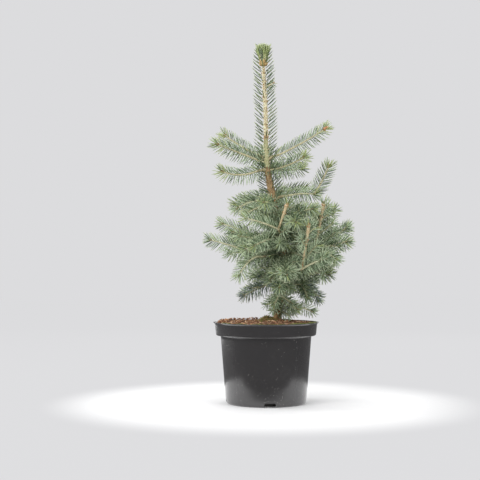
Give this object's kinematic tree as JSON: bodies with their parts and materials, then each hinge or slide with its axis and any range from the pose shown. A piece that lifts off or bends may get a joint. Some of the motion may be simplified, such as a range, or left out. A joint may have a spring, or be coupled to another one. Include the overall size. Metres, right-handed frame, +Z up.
{
  "type": "potted blue spruce",
  "caption": "Young blue spruce standing in a round dark plastic nursery pot, with whorled boughs and needled shoots.",
  "frame": {"origin": "centre of the pot's flat underside, on the ground", "axes": "+Z up along the pot's axis, +X to the right and -Y towards the front as the plant is seen"},
  "size_m": [0.2829, 0.2429, 0.6665],
  "materials": {
    "pot_plastic": "satin moulded black plastic, a little dusty",
    "potting_soil": "dry bark and peat crumbs",
    "bark": "rough young bark with needle pegs",
    "twig_bark": "tan ridged twig bark",
    "needles": "blue-green needles with a pale waxy bloom"
  },
  "bodies": {
    "root": {"back_bottom_needles": "needles", "back_high_bough": "twig_bark", "back_high_needles": "needles", "back_left_bough": "twig_bark", "back_left_needles": "needles", "back_low_needles": "needles", "back_right_bough": "twig_bark", "back_right_low_needles": "needles", "back_right_needles": "needles", "foot_right_needles": "needles", "front_bottom_needles": "needles", "front_left_needles": "needles", "front_low_needles": "needles", "front_needles": "needles", "front_right_bough": "twig_bark", "front_right_high_needles": "needles", "front_right_needles": "needles", "front_upright_bough": "twig_bark", "front_upright_needles": "needles", "internode_needles": "needles", "leader_needles": "needles", "left_bottom_bough": "twig_bark", "left_bottom_needles": "needles", "left_high_bough": "twig_bark", "left_high_needles": "needles", "left_long_bough": "twig_bark", "left_long_needles": "needles", "left_low_bough": "twig_bark", "left_low_needles": "needles", "middle_back_left_needles": "needles", "middle_back_needles": "needles", "middle_back_right_bough": "twig_bark", "middle_back_right_needles": "needles", "middle_front_needles": "needles", "middle_left_bough": "twig_bark", "middle_left_needles": "needles", "middle_right_bough": "twig_bark", "middle_right_needles": "needles", "pot": "pot_plastic", "right_bottom_bough": "twig_bark", "right_bottom_needles": "needles", "right_high_bough": "twig_bark", "right_high_needles": "needles", "right_low_bough": "twig_bark", "right_low_needles": "needles", "right_mid_bough": "twig_bark", "right_mid_needles": "needles", "soil": "potting_soil", "trunk": "bark", "upper_back_needles": "needles", "upper_back_right_needles": "needles", "upper_left_bough": "twig_bark", "upper_left_front_needles": "needles", "upper_left_low_bough": "twig_bark", "upper_left_low_needles": "needles", "upper_left_needles": "needles", "upper_right_bough": "twig_bark", "upper_right_low_needles": "needles", "upper_right_needles": "needles"}
  },
  "joints": []
}
